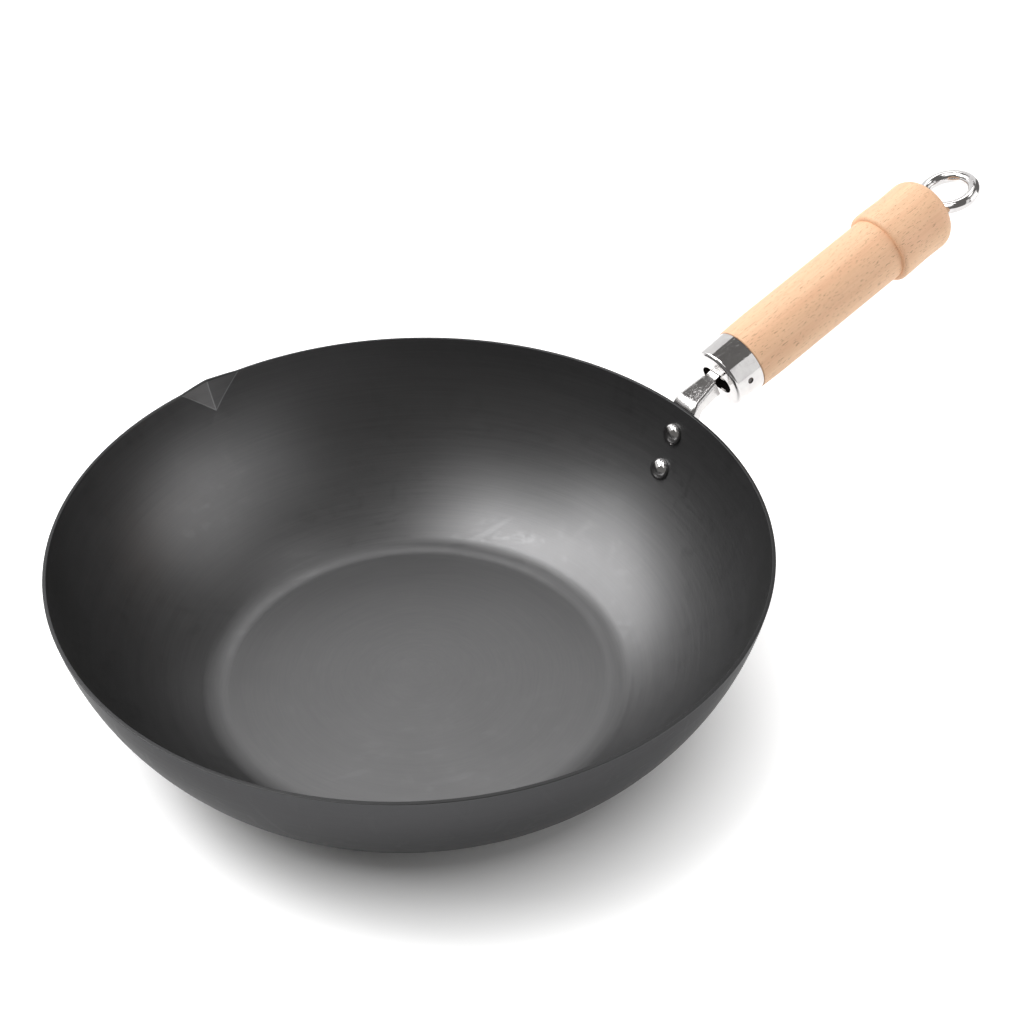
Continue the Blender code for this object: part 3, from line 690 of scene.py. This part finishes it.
ferrule_back = FERRULE_FRONT + FERRULE_LENGTH
corner = (FERRULE_FRONT_RADIUS - FERRULE_CORNER, FERRULE_FRONT + FERRULE_CORNER)
front_inside = FERRULE_FRONT + FERRULE_SHEET
cup = [(FERRULE_HOLE_RADIUS, FERRULE_FRONT), (FERRULE_FLAT_RADIUS, FERRULE_FRONT)]
cup += arc(corner, FERRULE_CORNER, -90, 0, CORNER_RINGS)
cup += [(FERRULE_BACK_RADIUS, ferrule_back)]
cup += [(FERRULE_BACK_RADIUS - FERRULE_SHEET, ferrule_back)]
cup += arc(corner, FERRULE_CORNER - FERRULE_SHEET, 0, -90, INNER_CORNER_RINGS)
cup += [(FERRULE_FLAT_RADIUS, front_inside), (FERRULE_HOLE_RADIUS, front_inside)]
ferrule = turn_on_lathe("drawn_ferrule", cup, FERRULE_FACETS)

bpy.ops.object.select_all(action="DESELECT")
bpy.ops.mesh.primitive_cylinder_add(vertices=64, radius=SLOT_HALF_HEIGHT,
                                    depth=4 * FERRULE_SHEET,
                                    location=(0.0, 0.0, FERRULE_FRONT))
slot = bpy.context.object
apply_place(slot)
for side in (-1, 1):
    bpy.context.tool_settings.mesh_select_mode = (True, False, False)
    bpy.ops.object.mode_set(mode="EDIT")
    bpy.ops.mesh.select_all(action="DESELECT")
    bpy.ops.object.mode_set(mode="OBJECT")
    for vert in slot.data.vertices:
        vert.select = side * vert.co.y > 1e-5
    bpy.ops.object.mode_set(mode="EDIT")
    bpy.ops.transform.translate(value=(0, side * (SLOT_HALF_WIDTH - SLOT_HALF_HEIGHT), 0))
    bpy.ops.object.mode_set(mode="OBJECT")
cut_away(ferrule, slot)

# The brad's place on the lathe: the side away from the spout, a little above the axis.
brad_along = FERRULE_FRONT + BRAD_BEHIND_FRONT
brad_out = (-math.sin(BRAD_ANGLE), math.cos(BRAD_ANGLE))
brad_turn = (math.pi / 2, 0.0, math.atan2(brad_out[1], brad_out[0]) + math.pi / 2)
ferrule_side = (FERRULE_FRONT_RADIUS + (FERRULE_BACK_RADIUS - FERRULE_FRONT_RADIUS)
                * BRAD_BEHIND_FRONT / FERRULE_LENGTH)


def drill_for_brad(piece, radius, outwards):
    """Drill a hole of the brad's direction through one side of a piece on the lathe."""
    bpy.ops.object.select_all(action="DESELECT")
    bpy.ops.mesh.primitive_cylinder_add(
        vertices=40, radius=radius, depth=BRAD_DRILL_LENGTH, rotation=brad_turn,
        location=(brad_out[0] * outwards, brad_out[1] * outwards, brad_along))
    cut_away(piece, bpy.context.object)


drill_for_brad(ferrule, BRAD_HEAD_RADIUS + FIT_GAP, ferrule_side)
set_on_handle(ferrule)
soften_edges(ferrule, FERRULE_EDGE_ROUNDING)
smooth_up_to(ferrule, SOFT_FOLD)
even_shading(ferrule)
ferrule.data.materials.append(polished_plate)
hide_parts("ferrule")
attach(ferrule, "pan")


# Brad. A small blued nail through the side of the ferrule into the wood, which keeps the
# ferrule from turning.
BRAD_HEAD_THICKNESS = 0.0005
BRAD_LENGTH, BRAD_SHANK_LENGTH = 0.0050, 0.0040
BRAD_TIP_RADIUS = 0.0002
BRAD_CROWN = 0.0002
BRAD_EDGE_ROUNDING = 0.00008
BRAD_CROWN_TOP = math.radians(80.0)

brad_top = ferrule_side - FIT_GAP
brad_outline = [(BRAD_TIP_RADIUS, brad_top - BRAD_LENGTH),
                (BRAD_RADIUS, brad_top - BRAD_SHANK_LENGTH),
                (BRAD_RADIUS, brad_top - BRAD_HEAD_THICKNESS),
                (BRAD_HEAD_RADIUS, brad_top - BRAD_HEAD_THICKNESS)]
brad_outline += [(BRAD_HEAD_RADIUS * math.cos(a),
                  brad_top - BRAD_CROWN * (1 - math.sin(a)))
                 for a in spread(0.0, BRAD_CROWN_TOP, 5)]
brad = turn_on_lathe("ferrule_nail", brad_outline, 32)
brad.rotation_euler = brad_turn
brad.location = (0.0, 0.0, brad_along)
apply_place(brad)
set_on_handle(brad)
soften_edges(brad, BRAD_EDGE_ROUNDING)
smooth_up_to(brad, SOFT_FOLD)
brad.data.materials.append(make_bare_steel("dark_steel", (0.07, 0.065, 0.065, 1.0),
                                           (0.15, 0.14, 0.14, 1.0), 0.36))
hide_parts("ferrule_brad")
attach(brad, "pan")


# Grip. Beech, turned with a spigot for the ferrule, a rolled collar and a rounded end,
# sanded and oiled. It is bored right through for the rod, with a pocket for the tang in
# front and a recess for the washer behind; the bore's front is painted near black as shade.
GRIP_FRONT_RADIUS, GRIP_RADIUS = 0.0155, 0.0159
GRIP_SWELL_LENGTH = 0.018
COLLAR_START, COLLAR_LENGTH = 0.1270, 0.0065
COLLAR_RADIUS, COLLAR_EDGE = 0.0184, 0.0020
WAIST_RADIUS = 0.0181
POMMEL_RADIUS, POMMEL_ROUNDING, POMMEL_FACE_RADIUS = 0.0183, 0.0076, 0.0108
GRIP_END = 0.1620
MOUTH_RADIUS, MOUTH_DEPTH = 0.0095, 0.0052
POCKET_RADIUS, POCKET_END = 0.00624, 0.0503
RECESS_RADIUS, RECESS_DEPTH = 0.0085, 0.0040
SPIGOT_CHAMFER, WOOD_EDGE, COLLAR_QUIRK = 0.0008, 0.0003, 0.0004
SWELL_RINGS, STRAIGHT_RINGS, POMMEL_RINGS = 10, 6, 14
GRIP_FACETS, GRIP_SOFT_FOLD = 128, 35

grip_front = front_inside + FIT_GAP
spigot = FERRULE_FRONT_RADIUS - FERRULE_SHEET - FIT_GAP
shoulder = ferrule_back + FIT_GAP
grip_outline = [(spigot - SPIGOT_CHAMFER, grip_front),
                (spigot, grip_front + SPIGOT_CHAMFER),
                (spigot, shoulder), (GRIP_FRONT_RADIUS - WOOD_EDGE, shoulder),
                (GRIP_FRONT_RADIUS, shoulder + WOOD_EDGE)]
for share in spread(0.0, 1.0, SWELL_RINGS)[1:]:
    swell = (GRIP_RADIUS - GRIP_FRONT_RADIUS) * math.sin(share * math.pi / 2)
    grip_outline.append((GRIP_FRONT_RADIUS + swell, shoulder + GRIP_SWELL_LENGTH * share))
straight_start = shoulder + GRIP_SWELL_LENGTH
straight_end = COLLAR_START - COLLAR_QUIRK
for share in spread(0.0, 1.0, STRAIGHT_RINGS)[1:-1]:
    grip_outline.append((GRIP_RADIUS,
                         straight_start + (straight_end - straight_start) * share))
grip_outline += [(GRIP_RADIUS, straight_end), (GRIP_RADIUS, COLLAR_START)]
grip_outline += arc((COLLAR_RADIUS - COLLAR_EDGE, COLLAR_START + COLLAR_EDGE),
                    COLLAR_EDGE, -90, 0, CORNER_RINGS)
collar_end = COLLAR_START + COLLAR_LENGTH
grip_outline.append((COLLAR_RADIUS, collar_end))
rounding_start = GRIP_END - POMMEL_ROUNDING
for share in spread(0.0, 1.0, POMMEL_RINGS)[1:]:
    straight = COLLAR_RADIUS + (POMMEL_RADIUS - COLLAR_RADIUS) * share
    dip = (straight - WAIST_RADIUS) * math.sin(share * math.pi)
    grip_outline.append((straight - dip,
                         collar_end + (rounding_start - collar_end) * share))
for turn in spread(0.0, math.pi / 2, POMMEL_RINGS)[1:]:
    grip_outline.append((POMMEL_RADIUS - (POMMEL_RADIUS - POMMEL_FACE_RADIUS)
                         * (1 - math.cos(turn)), rounding_start + POMMEL_ROUNDING
                         * math.sin(turn)))
recess_floor = GRIP_END - RECESS_DEPTH
rod_bore = ROD_RADIUS + FIT_GAP
grip_outline += [(RECESS_RADIUS + WOOD_EDGE, GRIP_END),
                 (RECESS_RADIUS, GRIP_END - WOOD_EDGE),
                 (RECESS_RADIUS, recess_floor), (rod_bore, recess_floor),
                 (rod_bore, POCKET_END), (POCKET_RADIUS, POCKET_END),
                 (POCKET_RADIUS, grip_front + MOUTH_DEPTH),
                 (MOUTH_RADIUS, grip_front + MOUTH_DEPTH), (MOUTH_RADIUS, grip_front)]
grip = turn_on_lathe("turned_grip", grip_outline, GRIP_FACETS, bored=True)
drill_for_brad(grip, BRAD_RADIUS + FIT_GAP, ferrule_side)
set_on_handle(grip)
smooth_up_to(grip, GRIP_SOFT_FOLD)


def make_beech():
    """Oiled beech with year rings and fibres along the grip, dark flecks, and painted shade
    that colours the pocket and the front of the bore near black."""
    made, tree, shader, place = start_material("oiled_beech")
    lying = add_node(tree, "Mapping", {"Vector": place, "Location": handle_start,
                                       "Rotation": (0.0, -handle_tilt, 0.0)},
                     vector_type="TEXTURE").outputs[0]

    def pattern(scales, detail, rough=0.5, distortion=0.0):
        """Noise drawn out along the grip."""
        noise = add_node(tree, "TexNoise", {
            "Vector": stretch(tree, lying, scales), "Scale": 1.0,
            "Detail": detail, "Roughness": rough, "Distortion": distortion})
        return noise.outputs[0]

    years = pattern((4.0, 170.0, 60.0), 3.0, 0.55, 0.3)
    fibres = pattern((45.0, 1300.0, 1300.0), 3.0, 0.6)
    flecks = scale_range(tree, pattern((380.0, 2500.0, 2000.0), 1.0), 0.63, 0.70, 0.0, 1.0)
    smudge = add_group(tree, smudges, {"Vector": place, "Size": 0.02})
    warm = between(tree, scale_range(tree, years, 0.32, 0.68, 0.0, 1.0),
                   (0.95, 0.635, 0.40, 1.0), (0.90, 0.54, 0.335, 1.0))
    grained = between(tree, scale_range(tree, fibres, 0.35, 0.70, 0.0, 0.45),
                      warm, (0.78, 0.46, 0.27, 1.0))
    flecked = between(tree, scale_range(tree, flecks, 0.0, 1.0, 0.0, 0.55),
                      grained, (0.36, 0.17, 0.085, 1.0))
    lying_parts = add_node(tree, "SeparateXYZ", {0: lying})
    from_axis = add_node(tree, "VectorMath", {0: stretch(tree, lying, (0.0, 1.0, 1.0))},
                         operation="LENGTH").outputs["Value"]
    # Painted shade: within 10 mm of the axis and up to 55 to 60 mm along the handle, the bore
    # and the tang's pocket are coloured near black.
    inside = scale_range(tree, from_axis, 0.0100, 0.0104, 1.0, 0.0)
    front = scale_range(tree, lying_parts.outputs[0], 0.055, 0.060, 1.0, 0.0)
    pocket_shade = figure(tree, "MULTIPLY", inside, front)
    shaded_pocket = between(tree, pocket_shade, flecked, (0.012, 0.007, 0.006, 1.0))
    finish = add_terms(tree, scale_range(tree, fibres, 0.3, 0.7, 0.42, 0.54),
                       scale_range(tree, smudge, 0.0, 1.0, 0.0, 0.06))
    relief = add_terms(tree, fibres, figure(tree, "MULTIPLY", flecks, -0.8))
    finish_surface(tree, shader, shaded_pocket, finish, relief, 0.00003)
    return made


grip.data.materials.append(make_beech())
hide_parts("grip")
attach(grip, "pan")


# Washer. Punched from plated steel, it lies in the grip's recess and spreads the load of
# the hanging eye on the end grain.
WASHER_RADIUS, WASHER_THICKNESS, WASHER_EDGE = 0.0075, 0.0012, 0.0002
WASHER_FACETS = 64

washer_front = recess_floor + FIT_GAP
washer_back = washer_front + WASHER_THICKNESS
washer_outline = [(rod_bore + WASHER_EDGE, washer_front),
                  (WASHER_RADIUS - WASHER_EDGE, washer_front),
                  (WASHER_RADIUS, washer_front + WASHER_EDGE),
                  (WASHER_RADIUS, washer_back - WASHER_EDGE),
                  (WASHER_RADIUS - WASHER_EDGE, washer_back),
                  (rod_bore + WASHER_EDGE, washer_back),
                  (rod_bore, washer_back - WASHER_EDGE),
                  (rod_bore, washer_front + WASHER_EDGE)]
washer = turn_on_lathe("grip_washer", washer_outline, WASHER_FACETS, bored=True)
set_on_handle(washer)
smooth_up_to(washer, ROD_SOFT_FOLD)
washer.data.materials.append(polished_plate)
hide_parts("washer")
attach(washer, "washer")


# Hanging eye. A ring of plated steel wire forged together with a threaded boss, screwed
# onto the rod's end, where it holds the grip and hangs the pan on a hook.
EYE_RING_RADIUS, EYE_WIRE_RADIUS = 0.01195, 0.0030
EYE_ROLL = math.radians(-5.0)
EYE_BOSS_RADIUS, EYE_BOSS_CHAMFER, EYE_BOSS_LENGTH = 0.0055, 0.0006, 0.0028
EYE_NECK_RADIUS = 0.0027
EYE_BORE_WALL = 0.0010
EYE_RING_FACETS, EYE_WIRE_FACETS = 112, 36
EYE_BOSS_FACETS, EYE_BOSS_RINGS = 64, 12

bpy.ops.object.select_all(action="DESELECT")
bpy.ops.mesh.primitive_torus_add(major_segments=EYE_RING_FACETS,
                                 minor_segments=EYE_WIRE_FACETS,
                                 major_radius=EYE_RING_RADIUS,
                                 minor_radius=EYE_WIRE_RADIUS,
                                 location=(0.0, 0.0, EYE_CENTRE),
                                 rotation=(0.0, math.pi / 2, EYE_ROLL))
eye = bpy.context.object
eye.name = eye.data.name = "hanging_eye"
apply_place(eye)
boss_start = washer_back + FIT_GAP
boss_shoulder = boss_start + EYE_BOSS_LENGTH
boss_end = EYE_CENTRE - EYE_RING_RADIUS + EYE_NECK_RADIUS / 2
boss_outline = [(EYE_BOSS_RADIUS - EYE_BOSS_CHAMFER, boss_start),
                (EYE_BOSS_RADIUS, boss_start + EYE_BOSS_CHAMFER)]
for share in spread(0.0, 1.0, EYE_BOSS_RINGS):
    fall = math.sin(share * math.pi / 2) ** 2
    boss_outline.append((EYE_BOSS_RADIUS + (EYE_NECK_RADIUS - EYE_BOSS_RADIUS) * fall,
                         boss_shoulder + (boss_end - boss_shoulder) * share))
boss = turn_on_lathe("eye_boss", boss_outline, EYE_BOSS_FACETS)
cut_away(eye, boss, "UNION")
bore_end = EYE_CENTRE - EYE_RING_RADIUS + EYE_WIRE_RADIUS - EYE_BORE_WALL
bpy.ops.object.select_all(action="DESELECT")
bpy.ops.mesh.primitive_cylinder_add(vertices=ROD_FACETS, radius=rod_bore,
                                    depth=2 * (bore_end - boss_start),
                                    location=(0.0, 0.0, boss_start))
cut_away(eye, bpy.context.object)
set_on_handle(eye)
smooth_up_to(eye, SOFT_FOLD)
eye.data.materials.append(polished_plate)
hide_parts("eye_nut")
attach(eye, "eye_nut")


# Studio. The pan stands on a round of white paper in a white surround. A dim grey hood,
# open behind the pan and in a slit on its right, keeps that surround from lighting it, and
# large soft lamps under the hood light it instead.
STUDIO_RADIUS = 6.0
FLOOR_RADIUS, FLOOR_BELOW = 1.5, 0.0001
LAMP_DISTANCE = 4.0
LAMP_AIM = (0.03, 0.0, 0.04)
HOOD_OPENINGS = ((18.0, 108.0, 46.0), (280.0, 297.0, 49.0))
# Distances from the pan's axis, in metres, over which the paper's painted glow rises and then
# falls.
UNDER_PAN = (0.108, 0.165, 0.0, 0.70)
FAR_FLOOR = (0.18, 0.32, 1.0, 0.35)


def seen_white(tree):
    """1 for a ray that shows the background itself, to the eye or in metal or glass."""
    ray = add_node(tree, "LightPath", {}).outputs
    seen = figure(tree, "MAXIMUM", ray["Is Camera Ray"], ray["Is Glossy Ray"])
    return figure(tree, "MAXIMUM", seen, ray["Is Transmission Ray"])


bpy.ops.object.select_all(action="DESELECT")
bpy.ops.mesh.primitive_circle_add(vertices=96, radius=FLOOR_RADIUS, fill_type="NGON",
                                  location=(0.0, 0.0, -FLOOR_BELOW))
floor = bpy.context.object
floor.name = "floor"
paper = bpy.data.materials.new("white_paper")
paper.use_nodes = True
paper_shader = paper.node_tree.nodes["Principled BSDF"]
paper_shader.inputs["Base Color"].default_value = (0.93, 0.93, 0.93, 1.0)
paper_shader.inputs["Roughness"].default_value = 0.9
paper_shader.inputs["Specular IOR Level"].default_value = 0.0
paper_shader.inputs["Emission Color"].default_value = (1.0, 1.0, 1.0, 1.0)
paper_tree = paper.node_tree
# Painted light: to the eye and in metal the paper glows, with nothing close under the pan,
# rising to 0.7 from 108 to 165 mm out and falling to 0.245 from 180 to 320 mm out, so that the
# pan's shadow ends short.
from_pan = add_node(paper_tree, "VectorMath", {
    0: add_node(paper_tree, "TexCoord", {}).outputs["Object"]},
    operation="LENGTH").outputs["Value"]
painted_floor_glow = figure(paper_tree, "MULTIPLY", scale_range(paper_tree, from_pan, *UNDER_PAN),
                  scale_range(paper_tree, from_pan, *FAR_FLOOR))
lift = figure(paper_tree, "MULTIPLY", seen_white(paper_tree), painted_floor_glow)
paper_tree.links.new(lift, paper_shader.inputs["Emission Strength"])
floor.data.materials.append(paper)

bpy.ops.object.select_all(action="DESELECT")
bpy.ops.mesh.primitive_uv_sphere_add(segments=72, ring_count=36, radius=STUDIO_RADIUS)
walls = bpy.context.object
walls.name = "studio_walls"


def is_open(point):
    """True below the floor, and where the hood is open on the white surround."""
    azimuth = math.degrees(math.atan2(point.y, point.x)) % 360.0
    height = math.degrees(math.asin(point.z / point.length))
    return height < 0.0 or any(start < azimuth < end and height < top
                               for start, end, top in HOOD_OPENINGS)


bpy.context.tool_settings.mesh_select_mode = (False, False, True)
for face in walls.data.polygons:
    face.select = is_open(face.center)
bpy.ops.object.mode_set(mode="EDIT")
bpy.ops.mesh.delete(type="FACE")
bpy.ops.object.mode_set(mode="OBJECT")
grey = bpy.data.materials.new("studio_grey")
grey.use_nodes = True
grey_shader = grey.node_tree.nodes["Principled BSDF"]
grey_shader.inputs["Base Color"].default_value = (0.05, 0.05, 0.05, 1.0)
grey_shader.inputs["Roughness"].default_value = 1.0
grey_shader.inputs["Emission Color"].default_value = (1.0, 0.97, 0.94, 1.0)
grey_shader.inputs["Emission Strength"].default_value = 0.12
walls.data.materials.append(grey)
walls.visible_camera = False


def softbox(name, azimuth, height, wide, tall, radiance):
    """A soft lamp in a given direction and as wide and tall, all in degrees, as seen from
    the pan, and as bright as a surface of that radiance."""
    a, e = math.radians(azimuth), math.radians(height)
    width = 2 * LAMP_DISTANCE * math.tan(math.radians(wide) / 2)
    length = 2 * LAMP_DISTANCE * math.tan(math.radians(tall) / 2)
    bpy.ops.object.light_add(
        type="AREA",
        location=(LAMP_AIM[0] + LAMP_DISTANCE * math.cos(e) * math.cos(a),
                  LAMP_AIM[1] + LAMP_DISTANCE * math.cos(e) * math.sin(a),
                  LAMP_AIM[2] + LAMP_DISTANCE * math.sin(e)),
        rotation=(math.pi / 2 - e, 0.0, a + math.pi / 2))
    lamp = bpy.context.object
    lamp.name = name
    lamp.data.shape = "RECTANGLE"
    lamp.data.size = width
    lamp.data.size_y = length
    lamp.data.energy = radiance * math.pi * width * length
    lamp.visible_camera = False


softbox("key_high", 130.0, 56.0, 24.0, 16.0, 5.87)
softbox("key_spot", 140.0, 65.0, 16.0, 12.0, 3.33)
softbox("left_top", 166.0, 67.0, 22.0, 12.0, 5.82)
softbox("overhead", 151.0, 77.5, 16.0, 12.0, 5.00)
softbox("left_high", 188.0, 54.0, 34.0, 18.0, 1.16)
softbox("key_middle", 126.0, 38.0, 50.0, 17.0, 5.13)
softbox("key_low", 120.0, 21.0, 56.0, 15.0, 0.58)
softbox("right_low", 322.0, 7.0, 34.0, 12.0, 2.80)
softbox("right_middle", 318.0, 22.0, 36.0, 16.0, 2.18)
softbox("right_high", 323.0, 39.0, 34.0, 17.0, 1.05)
softbox("right_top", 345.0, 66.0, 20.0, 12.0, 1.94)
softbox("back_high", 38.0, 59.0, 20.0, 16.0, 1.21)
softbox("back_middle", 58.0, 53.0, 15.0, 10.0, 4.50)

world = bpy.data.worlds.new("studio")
bpy.context.scene.world = world
world.use_nodes = True
sky = world.node_tree.nodes["Background"]
sky.inputs["Color"].default_value = (1.0, 1.0, 1.0, 1.0)
glow = scale_range(world.node_tree, seen_white(world.node_tree), 0.0, 1.0, 0.9, 1.0)
world.node_tree.links.new(glow, sky.inputs["Strength"])
bpy.context.scene.view_settings.view_transform = "Standard"
